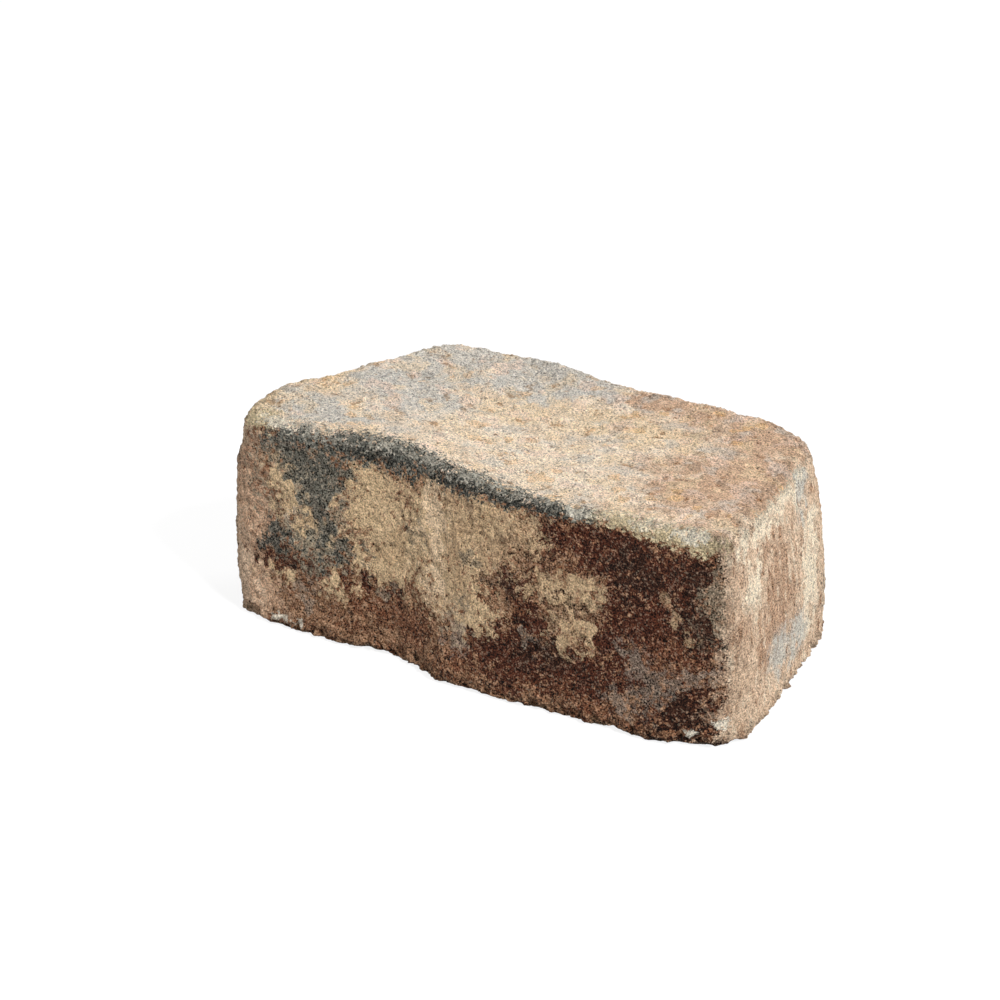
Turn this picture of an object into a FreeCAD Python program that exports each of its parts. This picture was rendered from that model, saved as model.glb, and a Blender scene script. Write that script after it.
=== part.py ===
import FreeCAD, Part
import os
import Sketcher
from FreeCAD import Vector

# A tapered garden wall block of cast concrete, with a wavy quarried front, worn edges and a gently
# rolling top. X runs along the front, -Y is the front, +Z is up, and the bed lies on Z = 0.
# Lengths are in millimetres.

# The widths are taken between the sharp corners that the sides would have if they were not worn.
# The crown is an outline above the top, and the top's cut ends where the crown's height is doubled.
BLOCK = {
    "height": 104.0,
    "depth": 164.0,
    "front_width": 310.0,
    "back_width": 216.0,
    "crown_rise": 15.0,
    "top_overrun": 10.0,
    "bed_bevel": 3.0,
    "bed_bevel_slope": 45.0,
    "rim_bevel": 4.5,
}

# For each level: how far the sides and the back stand in, how far each side swells at its middle,
# and how far from its sharp place each upright corner begins to turn.
LEVELS = {
    "bed": {
        "side_inset": 2.0, "back_inset": 0.5, "left_belly": 1.0, "right_belly": 0.0,
        "front_left": 52.0, "front_right": 66.0, "back_right": 26.0, "back_left": 32.0,
    },
    "waist": {
        "side_inset": 0.5, "back_inset": 3.0, "left_belly": 2.0, "right_belly": 1.0,
        "front_left": 38.0, "front_right": 44.0, "back_right": 32.0, "back_left": 32.0,
    },
    "crown": {
        "side_inset": 10.0, "back_inset": 13.0, "left_belly": 2.0, "right_belly": 1.0,
        "front_left": 46.0, "front_right": 26.0, "back_right": 38.0, "back_left": 32.0,
    },
}

# How far the front stands back from its foremost plane, from the left corner, over even stations,
# to the right corner.
FRONT_WAVES = {
    "bed": [9.0, 7.0, 15.5, 6.0, 0.0, -1.5, 2.0, 0.0, 6.0],
    "waist": [11.0, 9.0, 15.0, 8.0, 1.5, 1.0, 2.0, 3.0, 4.0],
    "crown": [9.0, 10.0, 18.0, 12.0, 5.0, 1.0, 1.5, 2.0, 3.0],
}
FRONT_DIVISIONS = 12

# How far the top stands above the block's height at nine even stations, left to right, along a line
# in front of the block, a line over its middle and a line behind it.
TOP_WAVES = {
    "front": [-6.0, -4.0, 4.0, 9.5, 2.0, 0.0, 1.0, 6.0, 0.5],
    "middle": [6.0, 7.0, 3.0, -1.0, -2.0, 1.0, 1.5, 0.5, -2.0],
    "back": [3.0, 4.0, 3.0, 4.5, 3.5, 1.5, 0.5, -1.5, -5.0],
}
TOP_SIDES = {"front": -1, "middle": 0, "back": 1}


def make_sheet(doc):
    values = dict(BLOCK)
    for level, sizes in LEVELS.items():
        values.update({f"{level}_{name}": size for name, size in sizes.items()})
    for level, wave in FRONT_WAVES.items():
        values.update({f"{level}_wave_{station}": offset for station, offset in enumerate(wave)})
    for line, wave in TOP_WAVES.items():
        values.update({f"top_{line}_wave_{station}": offset for station, offset in enumerate(wave)})
    sheet = doc.addObject("Spreadsheet::Sheet", "Sizes")
    for row, (alias, value) in enumerate(values.items(), start=1):
        sheet.set(f"A{row}", alias)
        sheet.set(f"B{row}", str(value))
        sheet.setAlias(f"B{row}", alias)
    doc.recompute()


def plane_sketch(body, label, role, offset):
    """Starts a sketch that lies on, or parallel to, one of the body's own base planes."""
    sketch = body.newObject("Sketcher::SketchObject", label)
    plane = next(item for item in body.Origin.OriginFeatures if item.Role == role)
    sketch.AttachmentSupport = [(plane, "")]
    sketch.MapMode = "FlatFace"
    sketch.setExpression("AttachmentOffset.Base.z", offset)
    return sketch


def found(sketch, place):
    """Works out a place that is written as two expressions of the sheet's sizes."""
    return Vector(*(float(sketch.evalExpression(text)) for text in place), 0)


def pin_point(sketch, geometry, point, place):
    """Ties a point of a sketch to a place."""
    start = found(sketch, place)
    for kind, value, expression in (("DistanceX", start.x, place[0]), ("DistanceY", start.y, place[1])):
        index = sketch.addConstraint(Sketcher.Constraint(kind, geometry, point, value))
        name = f"{kind}_{geometry}_{point}"
        sketch.renameConstraint(index, name)
        sketch.setExpression(f"Constraints.{name}", expression)


def steered_curve(sketch, places, closed):
    """Draws a smooth curve and ties each of its control points to a place."""
    curve = Part.BSplineCurve()
    curve.buildFromPoles([found(sketch, place) for place in places], closed, 3)
    spline = sketch.addGeometry(curve, False)
    sketch.exposeInternalGeometry(spline)
    for pole, place in enumerate(places, start=spline + 1):
        pin_point(sketch, pole, 3, place)
    return spline


def beside(place, step):
    """A place moved across by a step."""
    return f"({place[0]}) + ({step})", place[1]


def side_place(side, inset, setback):
    """A place on the sloping line of one side, at a setback from the foremost front plane."""
    narrowing = "(Sizes.front_width - Sizes.back_width) / 2 / Sizes.depth"
    across = f"{side} * (Sizes.front_width / 2 - {inset} - ({setback}) * {narrowing})"
    return across, f"({setback}) - Sizes.depth / 2"


def outline_sketch(body, level, height):
    """Draws the outline at one level: wavy front, worn corners, sides that narrow to a plain back."""
    sketch = plane_sketch(body, f"Outline{level.capitalize()}", "XY_Plane", height)
    last = len(FRONT_WAVES[level]) - 1

    def size(name):
        return f"Sizes.{level}_{name}"

    def side_run(side, name, corner_setback):
        """The places along one side, from its front corner to its back corner."""
        rear = f"Sizes.depth - {size('back_inset')}"
        turn_in = f"{corner_setback} + {size(f'front_{name}')}"
        turn_out = f"{rear} - {size(f'back_{name}')}"
        middle = side_place(side, size("side_inset"), f"({turn_in} + {turn_out}) / 2")
        return [
            side_place(side, size("side_inset"), corner_setback),
            side_place(side, size("side_inset"), turn_in),
            beside(middle, f"{side} * {size(f'{name}_belly')}"),
            side_place(side, size("side_inset"), turn_out),
            side_place(side, size("side_inset"), rear),
        ]

    left = side_run(-1, "left", size("wave_0"))
    right = side_run(1, "right", size(f"wave_{last}"))
    stations = [
        (f"Sizes.front_width * {station - last / 2} / {FRONT_DIVISIONS}",
         f"{size(f'wave_{station}')} - Sizes.depth / 2")
        for station in range(1, last)
    ]
    front_left = beside(left[0], size("front_left"))
    front_right = beside(right[0], f"-{size('front_right')}")
    back_right = beside(right[-1], f"-{size('back_right')}")
    back_left = beside(left[-1], size("back_left"))
    back_ends = [(f"{side} * Sizes.back_width / 4", left[-1][1]) for side in (-1, 1)]
    front = [front_left, *stations, front_right]
    around = [back_ends[0], back_left, *reversed(left), *front, *right, back_right, back_ends[1]]
    wrap = steered_curve(sketch, around, False)
    start, end = [found(sketch, place) for place in back_ends]
    back = sketch.addGeometry(Part.LineSegment(end, start), False)
    sketch.addConstraint([
        Sketcher.Constraint("Coincident", wrap, 2, back, 1),
        Sketcher.Constraint("Coincident", back, 2, wrap, 1),
    ])
    return sketch


def top_sketch(body, line):
    """Draws the space above the top along one line from left to right, with the top's waves below."""
    place = f"{-TOP_SIDES[line]} * (Sizes.depth / 2 + Sizes.top_overrun)"
    sketch = plane_sketch(body, f"Top{line.capitalize()}", "XZ_Plane", place)
    reach = "(Sizes.front_width / 2 + Sizes.top_overrun)"
    roof = "Sizes.height + 2 * Sizes.crown_rise"
    last = len(TOP_WAVES[line]) - 1
    waves = [
        (f"{reach} * {2 * station / last - 1}", f"Sizes.height + Sizes.top_{line}_wave_{station}")
        for station in range(last + 1)
    ]
    wave = steered_curve(sketch, waves, False)
    corners = [found(sketch, place) for place in (waves[-1], (reach, roof), (f"-{reach}", roof), waves[0])]
    right, over, left = [
        sketch.addGeometry(Part.LineSegment(start, end), False) for start, end in zip(corners, corners[1:])
    ]
    sketch.addConstraint([
        Sketcher.Constraint("Coincident", wave, 2, right, 1),
        Sketcher.Constraint("Coincident", right, 2, over, 1),
        Sketcher.Constraint("Coincident", over, 2, left, 1),
        Sketcher.Constraint("Coincident", left, 2, wave, 1),
        Sketcher.Constraint("Horizontal", over),
        Sketcher.Constraint("Vertical", left),
    ])
    pin_point(sketch, right, 2, (reach, roof))
    return sketch


def loft(body, kind, label, sketches):
    feature = body.newObject(kind, label)
    feature.Profile = sketches[0]
    feature.Sections = sketches[1:]
    return feature


def bevel(body, label, base, wanted, sizes):
    """Breaks the edges of the base that are wanted, with properties that follow the sheet's sizes."""
    edges = [f"Edge{index}" for index, edge in enumerate(base.Shape.Edges, start=1) if wanted(edge.BoundBox)]
    feature = body.newObject("PartDesign::Chamfer", label)
    feature.Base = (base, edges)
    feature.ChamferType = "Distance and Angle" if "Angle" in sizes else "Equal distance"
    for name, alias in sizes.items():
        feature.setExpression(name, f"Sizes.{alias}")
    body.Document.recompute()
    return feature


def wall_block(doc):
    body = doc.addObject("PartDesign::Body", "WallBlock")
    body.Label = "wall_block"
    heights = {"bed": "0", "waist": "Sizes.height / 2", "crown": "Sizes.height + Sizes.crown_rise"}
    outlines = [outline_sketch(body, level, height) for level, height in heights.items()]
    loft(body, "PartDesign::AdditiveLoft", "Sides", outlines)
    top_lines = [top_sketch(body, line) for line in TOP_WAVES]
    top = loft(body, "PartDesign::SubtractiveLoft", "RollingTop", top_lines)
    doc.recompute()
    waist = BLOCK["height"] / 2
    bed_sizes = {"Size": "bed_bevel", "Angle": "bed_bevel_slope"}
    bed = bevel(body, "WornBed", top, lambda box: box.ZMax < waist, bed_sizes)
    bevel(body, "WornRim", bed, lambda box: box.ZMin > waist, {"Size": "rim_bevel"})
    return body


def stand_on_middle(body):
    """Moves the block along its bed so that the bed's middle is the origin."""
    middle = body.Shape.optimalBoundingBox().Center
    body.Placement.Base = Vector(-middle.x, -middle.y, 0)


def check(doc, body):
    for item in doc.Objects:
        if "Invalid" in item.State or "Error" in item.State:
            raise RuntimeError(f"{item.Label} did not build: {item.State}")
    if body.Shape.isNull() or not body.Shape.isValid() or len(body.Shape.Solids) != 1:
        raise RuntimeError(f"{body.Label} is not one valid solid")


def main():
    doc = FreeCAD.newDocument("RetainingWallBlock")
    make_sheet(doc)
    body = wall_block(doc)
    stand_on_middle(body)
    doc.recompute()
    check(doc, body)
    os.makedirs("parts", exist_ok=True)
    body.Shape.exportStep(f"parts/{body.Label}.step")
    box = body.Shape.optimalBoundingBox()
    print(f"{body.Label}: {box.XLength:.1f} x {box.YLength:.1f} x {box.ZLength:.1f} mm, "
          f"{body.Shape.Volume / 1e6:.3f} litres")


main()
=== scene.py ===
import math

import bmesh
import bpy
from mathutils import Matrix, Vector


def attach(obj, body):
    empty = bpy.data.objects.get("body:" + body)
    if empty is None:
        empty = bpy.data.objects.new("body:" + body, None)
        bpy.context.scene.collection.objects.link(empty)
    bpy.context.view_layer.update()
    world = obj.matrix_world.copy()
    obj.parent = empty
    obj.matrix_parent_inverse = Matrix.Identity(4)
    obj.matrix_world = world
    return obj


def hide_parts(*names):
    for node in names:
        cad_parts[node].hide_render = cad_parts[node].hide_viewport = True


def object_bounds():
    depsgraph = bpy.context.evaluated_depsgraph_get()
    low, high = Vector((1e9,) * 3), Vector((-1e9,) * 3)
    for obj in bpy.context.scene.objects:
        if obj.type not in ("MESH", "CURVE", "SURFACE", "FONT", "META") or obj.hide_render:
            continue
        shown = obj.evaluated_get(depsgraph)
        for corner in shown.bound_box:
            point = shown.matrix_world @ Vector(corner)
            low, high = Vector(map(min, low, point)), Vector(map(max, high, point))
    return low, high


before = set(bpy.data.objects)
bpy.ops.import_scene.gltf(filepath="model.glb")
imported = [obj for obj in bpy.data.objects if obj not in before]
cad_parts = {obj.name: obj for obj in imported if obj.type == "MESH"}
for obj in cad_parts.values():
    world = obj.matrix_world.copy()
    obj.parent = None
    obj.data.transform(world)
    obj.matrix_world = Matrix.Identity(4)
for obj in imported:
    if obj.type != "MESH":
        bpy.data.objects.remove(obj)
cad_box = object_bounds()

MM = 0.001

# The camera and lamps, placed by direction from the block in degrees and by distance in metres.
PHOTO_AZIMUTH, PHOTO_ELEVATION = 35.2, 22.0
CAMERA_DISTANCE, CAMERA_LENS, SENSOR_WIDTH = 2.356, 174.6, 36
NEAREST_SEEN, FARTHEST_SEEN = 0.05, 50
LOOK_AT = (-45 * MM, 18 * MM, 52 * MM)

# Each lamp's azimuth, elevation, distance, size in metres and power in watts.
LAMPS = {
    "key_lamp": (62, 42, 2.2, 0.35, 72),
    "back_lamp": (155, 28, 2.2, 0.5, 44),
    "left_lamp": (-75, 36, 2.2, 0.5, 27),
}
LAMPS_AIM = (0, 0, 0.05)
ROOM_LIGHT = 0.2
FLOOR_HALF_SIZE = 6
FLOOR_PALENESS, FLOOR_GLOW = 0.9, 0.86
WHITE = (1, 1, 1, 1)

# The mesh of the worn surface.
MERGE_DISTANCE = 0.005 * MM
SURFACE_GRID = 1.0 * MM
WEAR_STEPS = 14
MOST_FACES = 190000

# How much of the edges is worn round, and how far this holds at the foot, which stays crisper.
WEAR = 0.65
FOOT_WEAR = 0.4
WORN_FROM, WORN_FULLY = 6 * MM, 26 * MM

# The relief of the surface: how far each kind of form rises or is sunk, and how much more grit the rim has.
SWELL_RISE = 2.4 * MM
LUMP_RISE = 4.0 * MM
GRIT_RISE = 3.4 * MM
RIM_GRIT = 3.2
HOLLOW_DEPTH = 1.0 * MM
CHIP_DEPTH = 4.2 * MM
CRUMB_DEPTH = 2.0 * MM
SETTLING = 0.25 * MM

# The ragged foot: its relief, and the heights where it starts and where it is fully there.
FOOT_RISE, FOOT_SWELL = 13 * MM, 0.5 * MM
FOOT_TOP, FOOT_FULL = 12 * MM, 2 * MM

# Points lower than the first height keep to the floor, and those above the second move freely.
FLOOR_BOUND, FREE_HEIGHT = 0.3 * MM, 5 * MM


def srgb(red, green, blue):
    """The linear colour of a colour given as 0 to 255."""
    return tuple(((part / 255 + 0.055) / 1.055) ** 2.4 for part in (red, green, blue)) + (1.0,)


class Wire:
    """A node's output, whose arithmetic adds Math nodes to its tree."""

    def __init__(self, graph, socket):
        self.graph, self.socket = graph, socket

    def __add__(self, other):
        return self.graph.math("ADD", self, other)

    def __sub__(self, other):
        return self.graph.math("SUBTRACT", self, other)

    def __rsub__(self, other):
        return self.graph.math("SUBTRACT", other, self)

    def __mul__(self, other):
        return self.graph.math("MULTIPLY", self, other)

    __radd__, __rmul__ = __add__, __mul__


class Graph:
    """A node tree that is written as expressions."""

    def __init__(self, tree):
        self.tree = tree

    def node(self, kind, inputs=None, output=0, **settings):
        """Adds a node with its settings, then its sockets' values or links, and gives one output."""
        made = self.tree.nodes.new(kind)
        for name, value in settings.items():
            setattr(made, name, value)
        for name, value in (inputs or {}).items():
            socket = self.socket(made.inputs, name)
            if isinstance(value, Wire):
                self.tree.links.new(value.socket, socket)
            else:
                socket.default_value = value
        return Wire(self, self.socket(made.outputs, output))

    @staticmethod
    def socket(sockets, name):
        """The socket in use that has a name, or a number in their order."""
        if isinstance(name, int):
            return [socket for socket in sockets if socket.enabled][name]
        return next(socket for socket in sockets if socket.enabled and socket.name == name)

    def end(self, kind, name, wire):
        """Adds the tree's output node and ties one of its sockets."""
        self.tree.links.new(wire.socket, self.socket(self.tree.nodes.new(kind).inputs, name))

    def math(self, operation, *values):
        return self.node("ShaderNodeMath", dict(enumerate(values)), operation=operation)

    def vector(self, operation, *values, output=0):
        return self.node("ShaderNodeVectorMath", dict(enumerate(values)), output, operation=operation)

    def mark(self, name, output="Fac"):
        """What the mesh stores under a name."""
        return self.node("ShaderNodeAttribute", output=output, attribute_name=name)

    def part(self, colour, name):
        """The red, green or blue part of a colour."""
        return self.node("ShaderNodeSeparateColor", {0: colour}, name)

    def noise(self, place, size, detail=2.0, roughness=0.5, output=0):
        """Smooth noise around 0.5 whose lumps are about the size given in millimetres."""
        sockets = {"Vector": place, "Scale": 1 / (size * MM), "Detail": detail, "Roughness": roughness}
        return self.node("ShaderNodeTexNoise", sockets, output)

    def cells(self, place, size, output):
        """The colours or the middles of grains of about the size given in millimetres."""
        return self.node("ShaderNodeTexVoronoi", {"Vector": place, "Scale": 1 / (size * MM)}, output)

    def span(self, value, low, high, start=0.0, end=1.0):
        """Goes softly from start to end as the value goes from low to high."""
        sockets = {"Value": value, "From Min": low, "From Max": high, "To Min": start, "To Max": end}
        return self.node("ShaderNodeMapRange", sockets, interpolation_type="SMOOTHSTEP")

    def warp(self, place, size, reach):
        """Bends a place by noise of a size, by up to the reach in millimetres."""
        sway = self.vector("SUBTRACT", self.noise(place, size, 3, output="Color"), (0.5, 0.5, 0.5))
        return self.vector("MULTIPLY_ADD", sway, (2 * reach * MM,) * 3, place)

    def patches(self, place, spots):
        """How near a place is to any of the spots: 0 in a spot's middle, 1 at its rim, more outside."""
        nearest = None
        for middle, radii in spots:
            away = self.vector("SUBTRACT", place, tuple(Vector(middle) * MM))
            away = self.vector("DIVIDE", away, tuple(Vector(radii) * MM))
            reach = self.vector("LENGTH", away, output="Value")
            nearest = self.math("MINIMUM", nearest, reach) if nearest else reach
        return nearest

    def mix(self, factor, first, second, blend_type="MIX"):
        """Goes from the first colour to the second."""
        sockets = {"Factor": factor, "A": first, "B": second}
        return self.node("ShaderNodeMix", sockets, "Result", data_type="RGBA", blend_type=blend_type)

    def blend(self, factor, first, second):
        """Goes from the first vector to the second."""
        sockets = {"Factor": factor, "A": first, "B": second}
        return self.node("ShaderNodeMix", sockets, "Result", data_type="VECTOR")


# Dents and swellings of the cast surface: middle, radius and rise in millimetres.
LUMPS = [
    ((-132, -38, 104), 30, 3.0),
    ((-112, 60, 104), 26, 1.5),
    ((-60, -10, 106), 26, -1.5),
    ((-50, 72, 104), 32, 2.6),
    ((-116, 40, 103), 12, 2.0),
    ((-92, 78, 103), 12, 2.0),
    ((136, 8, 106), 20, 3.0),
    ((-139, -58, 90), 15, -3.0),
    ((-72, -72, 3), 14, 2.4),
    ((-12, -78, 3), 20, 4.5),
    ((104, -76, 3), 24, 4.5),
    ((141, -46, 4), 15, 2.6),
    ((-40, 40, 104), 20, -1.6),
    ((40, 44, 104), 18, -1.0),
    ((-70, 30, 104), 16, 1.2),
    ((20, -20, 104), 34, -1.0),
    ((80, 20, 105), 30, 0.8),
    ((-26, -72, 75), 14, 1.2),
    ((-44, -70, 70), 10, -1.0),
    ((-133, -60, 60), 12, -1.2),
    ((60, -79, 60), 20, -0.8),
    ((110, -78, 40), 18, 0.8),
]


def new_shape_tree(name, **sizes):
    """A Geometry Nodes tree with named inputs, and those inputs' wires by name."""
    tree = bpy.data.node_groups.new(name, "GeometryNodeTree")
    face = tree.interface
    face.new_socket("Geometry", in_out="INPUT", socket_type="NodeSocketGeometry")
    for size, default in sizes.items():
        face.new_socket(size, in_out="INPUT", socket_type="NodeSocketFloat").default_value = default
    face.new_socket("Material", in_out="INPUT", socket_type="NodeSocketMaterial")
    face.new_socket("Geometry", in_out="OUTPUT", socket_type="NodeSocketGeometry")
    graph = Graph(tree)
    given = tree.nodes.new("NodeGroupInput")
    return graph, {socket.name: Wire(graph, socket) for socket in given.outputs if socket.name}


def end_shape_tree(graph, formed, material):
    """Ends a Geometry Nodes tree with real geometry in its material."""
    formed = graph.node("GeometryNodeRealizeInstances", {"Geometry": formed})
    formed = graph.node("GeometryNodeSetMaterial", {"Geometry": formed, "Material": material})
    graph.end("NodeGroupOutput", 0, formed)
    return graph.tree


def blurred(graph, value, steps):
    """A vector averaged over the surface around each point."""
    sockets = {"Value": value, "Iterations": steps}
    return graph.node("GeometryNodeBlurAttribute", sockets, data_type="FLOAT_VECTOR")


def kept_inside(graph, geometry, place):
    """Moves the surface to a place, but never out of the CAD box."""
    low, high = cad_box
    place = graph.vector("MINIMUM", graph.vector("MAXIMUM", place, tuple(low)), tuple(high))
    return graph.node("GeometryNodeSetPosition", {"Geometry": geometry, "Position": place})


def worn_surface():
    """Builds the node tree that rounds the edges, roughens the faces and crumbles the rims."""
    graph, given = new_shape_tree("worn_surface", Wear=WEAR, Roughness=1.0, Crumble=1.0)
    place = graph.node("GeometryNodeInputPosition")
    normal = graph.node("GeometryNodeInputNormal")
    settled = blurred(graph, place, WEAR_STEPS)
    lay = graph.vector("NORMALIZE", blurred(graph, normal, WEAR_STEPS))
    sunk = graph.vector("DOT_PRODUCT", graph.vector("SUBTRACT", place, settled), lay, output="Value")
    rim = graph.span(sunk, 0.1 * MM, 1.3 * MM)

    height = graph.node("ShaderNodeSeparateXYZ", {0: place}, "Z")
    off_floor = graph.math("MAXIMUM", graph.span(height, FLOOR_BOUND, FREE_HEIGHT), rim)
    bent = graph.warp(place, 40, 6)
    swell = graph.noise(place, 70, 1) - 0.5
    lump = graph.noise(bent, 16, 3) - 0.5
    grit = graph.noise(place, 3.4, 3, 0.8) - 0.5
    hollow = graph.span(graph.noise(bent, 9, 2), 0.60, 0.78)
    chip = graph.span(graph.noise(bent, 15, 4, 0.7), 0.46, 0.66)
    crumb = graph.span(graph.noise(place, 4.5, 2, 0.6), 0.40, 0.62)
    rise = swell * SWELL_RISE + lump * LUMP_RISE + grit * GRIT_RISE * (1 + RIM_GRIT * rim)
    rise = rise - hollow * HOLLOW_DEPTH - (chip * CHIP_DEPTH + crumb * CRUMB_DEPTH) * rim * given["Crumble"]
    foot = graph.span(height, FOOT_TOP, FOOT_FULL)
    rise = rise + ((graph.noise(place, 6, 2, 0.6) - 0.5) * FOOT_RISE + FOOT_SWELL) * foot
    for middle, radius, swelling in LUMPS:
        reach = graph.vector("DISTANCE", place, tuple(Vector(middle) * MM), output="Value")
        rise = rise + graph.span(reach, radius * MM, 0, 0, swelling * MM)
    rise = rise * given["Roughness"] - SETTLING

    worn = given["Wear"] * graph.span(height, WORN_FROM, WORN_FULLY, FOOT_WEAR, 1.0)
    push = graph.node("ShaderNodeCombineXYZ", {0: rise, 1: rise, 2: rise * off_floor})
    moved = graph.vector("MULTIPLY_ADD", lay, push, graph.blend(worn, place, settled))
    return end_shape_tree(graph, kept_inside(graph, given["Geometry"], moved), given["Material"])


# The pebbles that the patches of colour break up into: their size in millimetres, how far a pebble has one
# colour, and how far it may be tossed out of its patch.
PEBBLE_SIZE, PEBBLED, PEBBLE_TOSS = 4.6, 0.8, 9 * MM


def colour_marks():
    """Builds the node tree that marks how far each patch of colour is and how the faces lie."""
    graph, given = new_shape_tree("colour_marks")
    place = graph.node("GeometryNodeInputPosition")
    pebbled = graph.blend(PEBBLED, place, graph.cells(place, PEBBLE_SIZE, "Position"))
    tossed = graph.vector("SUBTRACT", graph.cells(place, PEBBLE_SIZE, "Color"), (0.5, 0.5, 0.5))
    pebbled = graph.vector("MULTIPLY_ADD", tossed, (PEBBLE_TOSS,) * 3, pebbled)
    bent = graph.warp(graph.warp(pebbled, 24, 12), 9, 3)
    edged = graph.warp(place, 10, 3)
    lay = graph.vector("NORMALIZE", blurred(graph, graph.node("GeometryNodeInputNormal"), WEAR_STEPS))
    sunk = graph.vector("SUBTRACT", place, blurred(graph, place, 2 * WEAR_STEPS))
    rim = graph.span(graph.vector("DOT_PRODUCT", sunk, lay, output="Value"), 0.2 * MM, 1.6 * MM)
    marks = [("lay", "FLOAT_VECTOR", lay), ("rim", "FLOAT", rim)]
    for region, name, spots in every_patch():
        marks.append((name, "FLOAT", graph.patches(edged if region in EDGE_REGIONS else bent, spots)))
    formed = given["Geometry"]
    for name, kind, value in marks:
        sockets = {"Geometry": formed, "Name": name, "Value": value}
        formed = graph.node("GeometryNodeStoreNamedAttribute", sockets, data_type=kind, domain="POINT")
    return end_shape_tree(graph, kept_inside(graph, formed, place), given["Material"])


def set_inputs(modifier, **values):
    """Sets a Geometry Nodes modifier's inputs through their sockets' identifiers."""
    for item in modifier.node_group.interface.items_tree:
        name = item.name.lower().replace(" ", "_")
        if item.in_out == "INPUT" and name in values:
            modifier[item.identifier] = values[name]


def finished_mesh(piece, name):
    """The mesh that a piece's modifiers give."""
    graph = bpy.context.evaluated_depsgraph_get()
    formed = piece.evaluated_get(graph)
    mesh = bpy.data.meshes.new_from_object(formed, preserve_all_data_layers=True, depsgraph=graph)
    mesh.name = name
    return mesh


def merged_copy(node, name):
    """A copy of a CAD node's mesh whose loose triangles are joined."""
    mesh = node.data.copy()
    work = bmesh.new()
    work.from_mesh(mesh)
    bmesh.ops.remove_doubles(work, verts=work.verts, dist=MERGE_DISTANCE)
    work.to_mesh(mesh)
    work.free()
    mesh.materials.clear()
    piece = bpy.data.objects.new(name, mesh)
    bpy.context.scene.collection.objects.link(piece)
    return piece


def add_material(name):
    """A material with an empty node tree."""
    material = bpy.data.materials.new(name)
    material.use_nodes = True
    material.node_tree.nodes.clear()
    return material, Graph(material.node_tree)


# Where the front, the right-hand side and the top lie, and how deep a spot on them reaches, in millimetres.
FRONT_Y, SIDE_X, TOP_Z, DEEP = -75, 130, 105, 30


def on_front(x, z, half_width, half_height):
    return (x, FRONT_Y, z), (half_width, DEEP, half_height)


def on_top(x, y, half_width, half_depth):
    return (x, y, TOP_Z), (half_width, half_depth, DEEP)


def on_side(y, z, half_depth, half_height):
    return (SIDE_X, y, z), (DEEP, half_depth, half_height)


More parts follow.
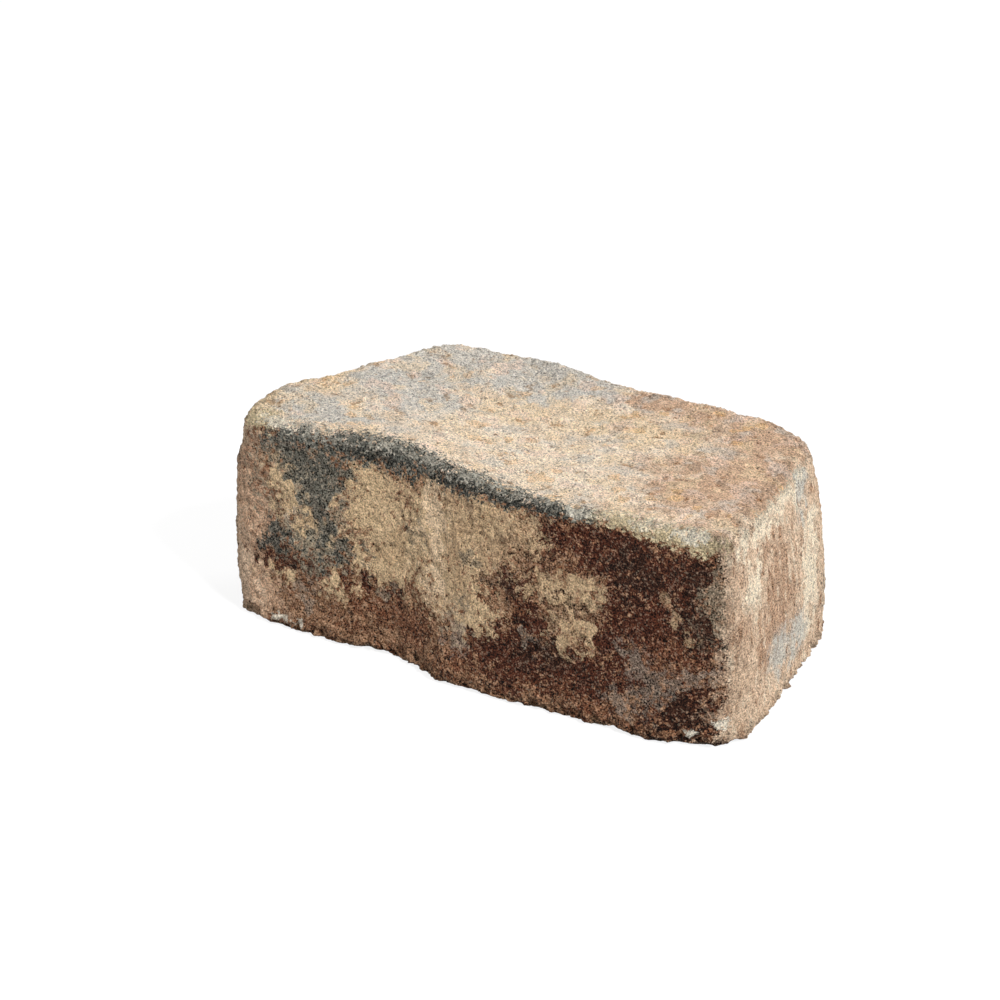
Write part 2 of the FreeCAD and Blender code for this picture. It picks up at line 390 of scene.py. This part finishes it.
# The patches of colour that the block shows, and a few of painted highlight and shade, region by region and
# in the order in which they are laid on.
# Each has its tone, its strength, the softness of its rim and its spots: place and half sizes in millimetres.
PATCHES = {"front": [
    ("pink_brown", 0.95, 0.40, [on_front(-138, 55, 20, 66), on_front(-130, 18, 18, 24)]),
    ("red_brown", 0.5, 0.30, [
        on_front(-129, 80, 4, 16), on_front(-120, 62, 4, 8), on_front(-134, 90, 3, 8)]),
    ("tan", 0.5, 0.40, [on_front(-140, 24, 14, 30), on_front(-136, 98, 14, 8)]),
    ("red_brown", 0.8, 0.30, [
        on_front(-100, 38, 30, 7), on_front(-62, 32, 18, 6), on_front(-36, 22, 18, 8)]),
    ("dark", 1.0, 0.16, [
        on_front(100, 84, 38, 17), on_front(60, 89, 24, 10), on_front(128, 84, 16, 18),
        on_front(130, 60, 14, 22), on_front(36, 61, 15, 9), on_front(30, 24, 36, 17),
        on_front(60, 24, 36, 15), on_front(92, 34, 18, 14), on_front(106, 58, 28, 20),
        on_front(84, 44, 18, 11), on_front(122, 16, 20, 15), on_front(-108, 37, 15, 5),
        on_front(-84, 37, 17, 4.5), on_front(-60, 33, 13, 3.5), on_front(44, 44, 12, 8)]),
    ("red_brown", 0.45, 0.50, [
        on_front(66, 11, 30, 7), on_front(2, 16, 12, 14), on_front(112, 42, 14, 10)]),
    ("darkest", 0.8, 0.30, [
        on_front(99, 82, 15, 9), on_front(124, 14, 16, 10), on_front(131, 62, 9, 12),
        on_front(132, 86, 7, 10), on_front(30, 58, 9, 5), on_front(46, 30, 20, 7)]),
    ("green_grey", 0.8, 0.40, [on_front(-94, 80, 28, 26), on_front(-88, 52, 24, 14)]),
    ("buff", 1.0, 0.20, [
        on_front(-56, 76, 21, 22), on_front(-45, 60, 22, 16), on_front(-20, 74, 18, 32),
        on_front(0, 80, 24, 21), on_front(22, 84, 22, 16), on_front(38, 82, 12, 9),
        on_front(-6, 52, 19, 18), on_front(6, 42, 14, 9), on_front(14, 66, 14, 12),
        on_front(-50, 48, 17, 8), on_front(-104, 67, 8, 5), on_front(-111, 78, 8, 11),
        on_front(-96, 56, 7, 4.5), on_front(-85, 54, 4, 4), on_front(-114, 27, 9, 4),
        on_front(-77, 27, 9, 4)]),
    ("buff", 0.85, 0.35, [
        on_front(56, 60, 13, 7), on_front(72, 67, 11, 5), on_front(62, 49, 11, 7),
        on_front(60, 38, 8, 3.5), on_front(48, 66, 6, 3.5)]),
    ("dark", 0.75, 0.30, [
        on_front(64, 57, 5, 4), on_front(52, 52, 5, 4), on_front(70, 60, 4, 4),
        on_front(44, 76, 9, 6), on_front(60, 46, 4, 3), on_front(54, 62, 3, 3), on_front(20, 62, 6, 4)]),
    ("buff", 0.5, 0.40, [
        on_front(121, 63, 3.5, 4), on_front(127, 54, 4, 3.5), on_front(116, 70, 2.5, 3)]),
    ("tan", 0.7, 0.30, [on_front(-91, 80, 3.5, 3), on_front(-92, 66, 3, 3), on_front(-106, 60, 4, 3)]),
    ("brown", 0.3, 0.50, [on_front(-2, 70, 9, 26), on_front(34, 84, 14, 8)]),
    ("red_brown", 0.3, 0.50, [
        on_front(28, 74, 16, 12), on_front(-6, 92, 10, 4), on_front(-40, 90, 8, 4)]),
    # Painted highlight: the lit crest of the ridge that runs down the front.
    ("light_buff", 0.9, 0.50, [on_front(-18, 84, 6, 22), on_front(-17, 56, 6, 20)]),
    ("charcoal", 0.85, 0.25, [
        on_front(-107, 96, 14, 9), on_front(-97, 89, 12, 9), on_front(-84, 89, 14, 10),
        on_front(-88, 76, 10, 10), on_front(-88, 64, 9, 10), on_front(-99, 83, 7, 6),
        on_front(-115, 48, 8, 6.5), on_front(-103, 46, 10, 3.5), on_front(-76, 50, 9, 6),
        on_front(-80, 44, 8, 4), on_front(-66, 98, 12, 5)]),
    ("black", 0.35, 0.50, [
        on_front(-92, 86, 12, 10), on_front(-88, 64, 6, 6), on_front(-115, 48, 6, 5),
        on_front(-76, 48, 6, 4)]),
    ("charcoal", 0.5, 0.35, [
        on_front(-53, 36, 9, 2), on_front(-30, 66, 6, 5), on_front(14, 66, 9, 3)]),
    ("pale_grey", 0.5, 0.40, [
        on_front(96, 41, 5, 6), on_front(103, 34, 6, 5), on_front(108, 25, 6, 7),
        on_front(92, 20, 8, 6), on_front(114, 31, 8, 2.5), on_front(127, 35, 9, 3),
        on_front(139, 39, 7, 3), on_front(-98, 22, 8, 4), on_front(0, 30, 8, 10),
        on_front(40, 36, 5, 3)]),
    ("green_grey", 0.5, 0.50, [on_front(141, 72, 6, 16)]),
    ("side_tan", 0.6, 0.50, [on_front(147, 50, 6, 26), on_front(146, 26, 7, 16)]),
], "side": [
    ("side_brown", 0.5, 0.50, [on_side(-64, 52, 9, 42)]),
    ("side_brown", 0.75, 0.40, [
        on_side(-13, 56, 20, 26), on_side(-30, 84, 10, 8), on_side(-36, 40, 12, 10)]),
    ("side_cream", 0.95, 0.40, [
        on_side(36, 46, 14, 34), on_side(-45, 74, 12, 10), on_side(-40, 97, 26, 8),
        on_side(10, 98, 40, 6)]),
    ("side_orange", 0.7, 0.40, [
        on_side(-34, 10, 34, 9), on_side(-57, 30, 9, 22), on_side(36, 6, 24, 6)]),
    ("side_blue", 0.8, 0.55, [
        on_side(-10, 29, 18, 10), on_side(31, 89, 8, 12), on_side(20, 23, 14, 8)]),
], "top": [
    ("top_brown", 1.0, 0.50, [
        on_top(108, -8, 44, 62), on_top(90, 46, 60, 30), on_top(20, 62, 34, 14)]),
    ("top_orange", 0.6, 0.50, [
        on_top(-130, -46, 22, 26), on_top(-24, 14, 30, 12), on_top(30, 22, 46, 16),
        on_top(-116, -14, 14, 14)]),
    ("top_grey", 0.85, 0.40, [
        on_top(-96, 28, 26, 44), on_top(-72, -10, 22, 16), on_top(-98, -46, 30, 12),
        on_top(-40, 44, 30, 14), on_top(-28, 60, 26, 14), on_top(-60, 62, 30, 14)]),
    ("top_cream", 0.8, 0.50, [
        on_top(-6, -26, 50, 16), on_top(36, -50, 44, 14), on_top(-42, -14, 22, 10)]),
], "rim": [
    ("charcoal", 1.0, 0.12, [
        ((-66, -69, 103), (18, 10, 8)), ((-44, -66, 103), (24, 9, 9)), ((-22, -69, 104), (16, 7, 5)),
        ((0, -74, 102.5), (20, 9, 6)), ((26, -78, 102), (22, 8, 4)), ((50, -79, 102), (18, 7, 3.4)),
        ((66, -78, 102.5), (12, 6, 3)), ((-98, -69, 101), (18, 6, 5))]),
    ("black", 0.8, 0.30, [
        ((-56, -68, 101), (22, 8, 4)), ((-2, -75, 101), (18, 7, 3)), ((34, -79, 101), (18, 6, 2.4))]),
    ("cream", 0.9, 0.20, [
        ((90, -76, 104), (16, 7, 3.6)), ((114, -76, 103), (17, 8, 4)), ((131, -74, 102), (12, 8, 4.5)),
        ((-128, -66, 103), (14, 8, 4))]),
    # Painted shade: a dark line along the foot at the right, where the block meets the floor.
    ("darkest", 0.8, 0.20, [((134, -70, 1.5), (14, 9, 2.4)), ((104, -76, 1), (16, 8, 1.6))]),
    ("white", 0.75, 0.20, [
        ((139, -67, 13), (3.6, 4, 3)), ((-111, -73, 4), (6, 5, 2.4)), ((-99, -73, 5.5), (3, 5, 2)),
        ((126, -75, 8), (3, 4, 1.6))]),
    # Pale spots on the top lip of the rim: partly its pale colour, partly painted highlight.
    ("white", 0.7, 0.20, [
        ((126, -75, 104.5), (8, 5, 2.2)), ((64, -78, 103.4), (7, 4, 2)), ((-117, -67, 105), (12, 4, 3))]),
# Painted highlight: a broken pale line along the top lip of the rim.
], "painted_lip_highlight": [
    ("white", 0.5, 0.40, [
        ((-52, -65, 105.6), (24, 5, 3)), ((-24, -67, 105), (18, 5, 2.8)), ((4, -72, 104), (20, 5, 2.4)),
        ((34, -76.5, 103.4), (22, 5, 2)), ((-92, -67, 104), (22, 7, 3.4)), ((100, -76, 105), (40, 5, 2.4))]),
], "hidden": [
    ("side_brown", 0.8, 0.40, [
        ((-120, 30, 60), (30, 34, 40)), ((20, 80, 70), (60, 30, 26)), ((-70, 80, 20), (30, 30, 26))]),
    ("charcoal", 0.6, 0.30, [
        ((-132, 10, 92), (30, 40, 12)), ((-60, 84, 88), (40, 30, 16)), ((96, 80, 30), (18, 30, 16))]),
    ("buff", 0.8, 0.30, [((-135, -34, 46), (30, 20, 26)), ((60, 84, 40), (30, 30, 26))]),
]}

# The regions whose patches keep to the worn edge and don't break up into pebbles.
EDGE_REGIONS = ("rim", "painted_lip_highlight")


def mark_name(region, number, tone):
    return f"{region}_{number}_{tone}"


def every_patch():
    """Each patch's region, the name of its mark, and its spots."""
    return [(region, mark_name(region, number, tone), spots)
            for region, layers in PATCHES.items()
            for number, (tone, _, _, spots) in enumerate(layers)]


TONES = {
    "buff": srgb(211, 183, 145), "light_buff": srgb(232, 204, 170), "brown": srgb(142, 108, 82),
    "red_brown": srgb(114, 72, 50), "dark": srgb(76, 39, 25), "darkest": srgb(54, 33, 23),
    "charcoal": srgb(96, 97, 90), "black": srgb(54, 54, 50), "cream": srgb(214, 196, 158),
    "white": srgb(242, 234, 216), "pale_grey": srgb(158, 146, 132), "green_grey": srgb(166, 156, 134),
    "pink_brown": srgb(212, 176, 146), "tan": srgb(218, 196, 170), "top_tan": srgb(226, 204, 178),
    "top_grey": srgb(204, 200, 192), "top_cream": srgb(244, 226, 202), "top_orange": srgb(236, 210, 172),
    "top_pink": srgb(232, 204, 184), "top_brown": srgb(202, 168, 140), "ochre": srgb(226, 180, 120),
    "side_tan": srgb(204, 178, 152), "side_blue": srgb(188, 188, 180), "side_cream": srgb(226, 212, 188),
    "side_brown": srgb(162, 128, 102), "side_orange": srgb(212, 184, 156), "pale_grain": srgb(204, 182, 158),
}

# What the painted shade of dimples and pits, and the haze, multiply the colour by where they are deepest.
DIMPLE_PAINTED_SHADE = (0.68, 0.55, 0.44, 1)
HAZE_SHADE = (0.74, 0.66, 0.6, 1)
PIT_PAINTED_SHADE = (0.3, 0.22, 0.18, 1)

# How the streaks down the sides lean, and how they are drawn out in height.
STREAK_LEAN, STREAK_STRETCH = (0.12, 0, 0), (1, 1, 0.25)

# How far the bump of the grains reaches, and how much more of it the rim has.
BUMP_REACH, RIM_BUMP = 4.0 * MM, 2.6


def mottled_concrete():
    """Cast concrete in the photographed colours, laid out in soft patches that break up into grains."""
    material, graph = add_material("mottled_concrete")
    place = graph.node("ShaderNodeTexCoord", output="Object")
    lay = graph.mark("lay", "Vector")
    out, up = (graph.node("ShaderNodeSeparateXYZ", {0: lay}, axis) for axis in "YZ")

    blotch = graph.noise(place, 9, 3, 0.6)
    speckle = graph.noise(place, 3.4, 3, 0.65)
    grain = graph.noise(place, 0.8, 1)
    sand = graph.part(graph.cells(place, 0.85, "Color"), "Red")
    pebble = graph.part(graph.cells(place, 2.1, "Color"), "Green")
    stone = graph.part(graph.cells(place, 5.5, "Color"), "Blue")
    broken = (graph.noise(place, 4, 4, 0.8) - 0.5) * 3.4 + (sand - 0.5) * 0.5 + (pebble - 0.5) * 0.7
    tints = graph.noise(place, 15, 2, output="Color")
    rosy, hazy, sunny = (graph.part(tints, name) for name in ("Red", "Green", "Blue"))
    drifting = (hazy - 0.5) * 2.0 + (blotch - 0.5) * 1.4
    sockets = {"Vector": place, "Rotation": STREAK_LEAN, "Scale": STREAK_STRETCH}
    streak = graph.noise(graph.node("ShaderNodeMapping", sockets), 4.0, 3, 0.6)

    def patched(colour, region, breakup):
        """Lays a region's patches over a colour, with rims that the breakup frays."""
        for number, (tone, strength, softness, _) in enumerate(PATCHES[region]):
            reach = graph.mark(mark_name(region, number, tone))
            covered = graph.span(reach + breakup, 1 + softness, 1 - softness)
            colour = graph.mix(covered * strength, colour, TONES[tone])
        return colour

    def mottled(first, second, value, low, high):
        """Goes from one tone to another as the value goes from low to high."""
        return graph.mix(graph.span(value, low, high), TONES[first], TONES[second])

    def washed(colour, tone, strength, value, low, high):
        """Lays a thin tone over a colour as the value goes from low to high."""
        return graph.mix(graph.span(value, low, high) * strength, colour, TONES[tone])

    def shaded(colour, shade, strength, value, low, high):
        """Darkens a colour as the value goes from low to high."""
        return graph.mix(graph.span(value, low, high) * strength, colour, shade, "MULTIPLY")

    front = patched(mottled("red_brown", "brown", blotch * 0.5 + speckle * 0.5, 0.36, 0.56), "front", broken)
    front = shaded(front, HAZE_SHADE, 0.35, hazy, 0.46, 0.36)

    top = patched(mottled("top_tan", "top_cream", rosy, 0.42, 0.58), "top", drifting)
    top = washed(top, "top_orange", 0.45, sunny, 0.53, 0.64)
    top = washed(top, "top_grey", 0.45, sunny, 0.46, 0.36)
    top = washed(top, "top_pink", 0.5, rosy, 0.54, 0.64)
    # Painted shade: brownish mottling on the top that stands for shadow in its dimples.
    top = shaded(top, DIMPLE_PAINTED_SHADE, 0.95, graph.noise(place, 8, 3, 0.6), 0.43, 0.30)
    top = washed(top, "ochre", 0.4, stone, 0.955, 0.975)
    top = washed(top, "charcoal", 0.25, stone, 0.035, 0.02)

    side = mottled("side_brown", "side_tan", streak, 0.32, 0.5)
    side = patched(side, "side", drifting + broken * 0.15)
    side = patched(side, "hidden", broken)
    side = washed(side, "side_cream", 0.55, streak, 0.56, 0.68)
    side = washed(side, "brown", 0.35, streak, 0.42, 0.34)

    ragged = (speckle - 0.5) * 0.8 + (grain - 0.5) * 0.5
    colour = graph.mix(graph.span(out + ragged, -0.5, -0.78), side, front)
    colour = graph.mix(graph.span(up + ragged, 0.5, 0.72), colour, top)
    colour = patched(colour, "rim", broken * 0.5 + (pebble - 0.5) * 0.5 + (sand - 0.5) * 0.4)
    # Painted highlight: pale grains along the top lip of the rim, where the light catches it.
    colour = patched(colour, "painted_lip_highlight", 0.70 + (pebble - 0.5) * 2.0 + (sand - 0.5) * 1.6 + broken * 0.4)

    # Dark concrete shows its grains more strongly than pale concrete.
    light = graph.node("ShaderNodeRGBToBW", {"Color": colour})
    vivid = graph.span(light, 0.03, 0.4, 2.0, 0.9)
    grains = (grain - 0.5) * 3.0 + (speckle - 0.5) * 1.15 + (sand - 0.5) * 0.3 + (pebble - 0.5) * 0.1
    colour = graph.mix(1.0, colour, 1 + vivid * grains, "MULTIPLY")
    # Painted shade: the pits, which the bump also sinks, are darkened where they are deepest.
    pits = graph.span(graph.noise(place, 2.0, 3, 0.7), 0.42, 0.30)
    colour = graph.mix(pits * 0.55, colour, PIT_PAINTED_SHADE, "MULTIPLY")
    colour = washed(colour, "tan", 0.2, sand, 0.86, 0.94)
    colour = washed(colour, "pale_grain", 0.26, grain * 0.5 + speckle * 0.5, 0.55, 0.66)

    height = graph.noise(place, 1.5, 4, 0.8) * 1.4 + speckle * 1.3 + sand * 0.12 - pits * 0.15
    height = height * (1 + RIM_BUMP * graph.mark("rim"))
    bump = graph.node("ShaderNodeBump", {"Strength": 1.0, "Distance": BUMP_REACH, "Height": height})
    rough = graph.span(grain, 0.3, 0.7, 0.86, 0.97)
    sockets = {"Base Color": colour, "Roughness": rough, "Normal": bump, "Specular IOR Level": 0.1}
    graph.end("ShaderNodeOutputMaterial", "Surface", graph.node("ShaderNodeBsdfPrincipled", sockets))
    return material


def build_block(material):
    """The weathered block that stands for the plain solid."""
    piece = merged_copy(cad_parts["wall_block"], "weathered_block")
    remesh = piece.modifiers.new("even_grid", "REMESH")
    remesh.mode, remesh.voxel_size, remesh.use_smooth_shade = "VOXEL", SURFACE_GRID, True
    wear = piece.modifiers.new("worn_surface", "NODES")
    wear.node_group = worn_surface()
    set_inputs(wear, wear=WEAR, roughness=1.0, crumble=1.0, material=material)
    piece.data = finished_mesh(piece, "even_grid")
    piece.modifiers.clear()
    faces = sum(len(polygon.vertices) - 2 for polygon in piece.data.polygons)
    thin = piece.modifiers.new("fewer_faces", "DECIMATE")
    thin.ratio = min(1.0, MOST_FACES / faces)
    marks = piece.modifiers.new("colour_marks", "NODES")
    marks.node_group = colour_marks()
    set_inputs(marks, material=material)
    mesh = finished_mesh(piece, "weathered_block")
    piece.modifiers.clear()
    piece.data = mesh
    for polygon in mesh.polygons:
        polygon.use_smooth = True
    return piece


def seen(graph):
    """1 for rays that come from the camera or were mirrored or let through, 0 for light."""
    rays = [graph.node("ShaderNodeLightPath", output=name)
            for name in ("Is Camera Ray", "Is Glossy Ray", "Is Transmission Ray")]
    return graph.math("MAXIMUM", graph.math("MAXIMUM", rays[0], rays[1]), rays[2])


def add_floor():
    """A pale floor that shows white to the camera and keeps the block's soft shadow."""
    work = bmesh.new()
    bmesh.ops.create_grid(work, x_segments=1, y_segments=1, size=FLOOR_HALF_SIZE)
    mesh = bpy.data.meshes.new("floor")
    work.to_mesh(mesh)
    work.free()
    floor = bpy.data.objects.new("floor", mesh)
    bpy.context.scene.collection.objects.link(floor)
    material, graph = add_material("pale_floor")
    paper = graph.node("ShaderNodeBsdfDiffuse", {"Color": (FLOOR_PALENESS,) * 3 + (1,)})
    glow = graph.node("ShaderNodeEmission", {"Color": WHITE, "Strength": 1.0})
    shader = graph.node("ShaderNodeMixShader", {0: seen(graph) * FLOOR_GLOW, 1: paper, 2: glow})
    graph.end("ShaderNodeOutputMaterial", "Surface", shader)
    mesh.materials.append(material)
    return floor


def direction(azimuth, elevation):
    """Points from the block to a place seen at an azimuth, counted from the front, and an elevation."""
    turn, rise = math.radians(azimuth), math.radians(elevation)
    return Vector((math.sin(turn) * math.cos(rise), -math.cos(turn) * math.cos(rise), math.sin(rise)))


def aim(item, place, target):
    """Puts a camera or lamp in a place and turns it to a target."""
    item.location = place
    item.rotation_euler = (Vector(target) - Vector(place)).to_track_quat("-Z", "Y").to_euler()


def add_lamp(name, azimuth, elevation, distance, size, power):
    lamp = bpy.data.lights.new(name, "AREA")
    lamp.shape, lamp.size, lamp.energy = "DISK", size, power
    item = bpy.data.objects.new(name, lamp)
    bpy.context.scene.collection.objects.link(item)
    aim(item, direction(azimuth, elevation) * distance, LAMPS_AIM)


def add_camera():
    """The camera at the photograph's viewing angle."""
    camera = bpy.data.objects.new("camera", bpy.data.cameras.new("camera"))
    camera.data.lens, camera.data.sensor_width = CAMERA_LENS, SENSOR_WIDTH
    camera.data.clip_start, camera.data.clip_end = NEAREST_SEEN, FARTHEST_SEEN
    bpy.context.scene.collection.objects.link(camera)
    back = direction(PHOTO_AZIMUTH, PHOTO_ELEVATION)
    aim(camera, Vector(LOOK_AT) + back * CAMERA_DISTANCE, LOOK_AT)
    bpy.context.scene.camera = camera


def light_studio():
    """A room that shows white and lights softly, and its lamps."""
    scene = bpy.context.scene
    scene.view_settings.view_transform = "Standard"
    world = bpy.data.worlds.new("studio")
    world.use_nodes = True
    world.node_tree.nodes.clear()
    graph = Graph(world.node_tree)
    room = graph.node("ShaderNodeBackground", {"Color": WHITE, "Strength": ROOM_LIGHT})
    white = graph.node("ShaderNodeBackground", {"Color": WHITE, "Strength": 1.0})
    shader = graph.node("ShaderNodeMixShader", {0: seen(graph), 1: room, 2: white})
    graph.end("ShaderNodeOutputWorld", "Surface", shader)
    scene.world = world
    for name, lamp in LAMPS.items():
        add_lamp(name, *lamp)


add_camera()
light_studio()
floor = add_floor()

concrete = mottled_concrete()
block = build_block(concrete)
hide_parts("wall_block")
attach(block, "root")
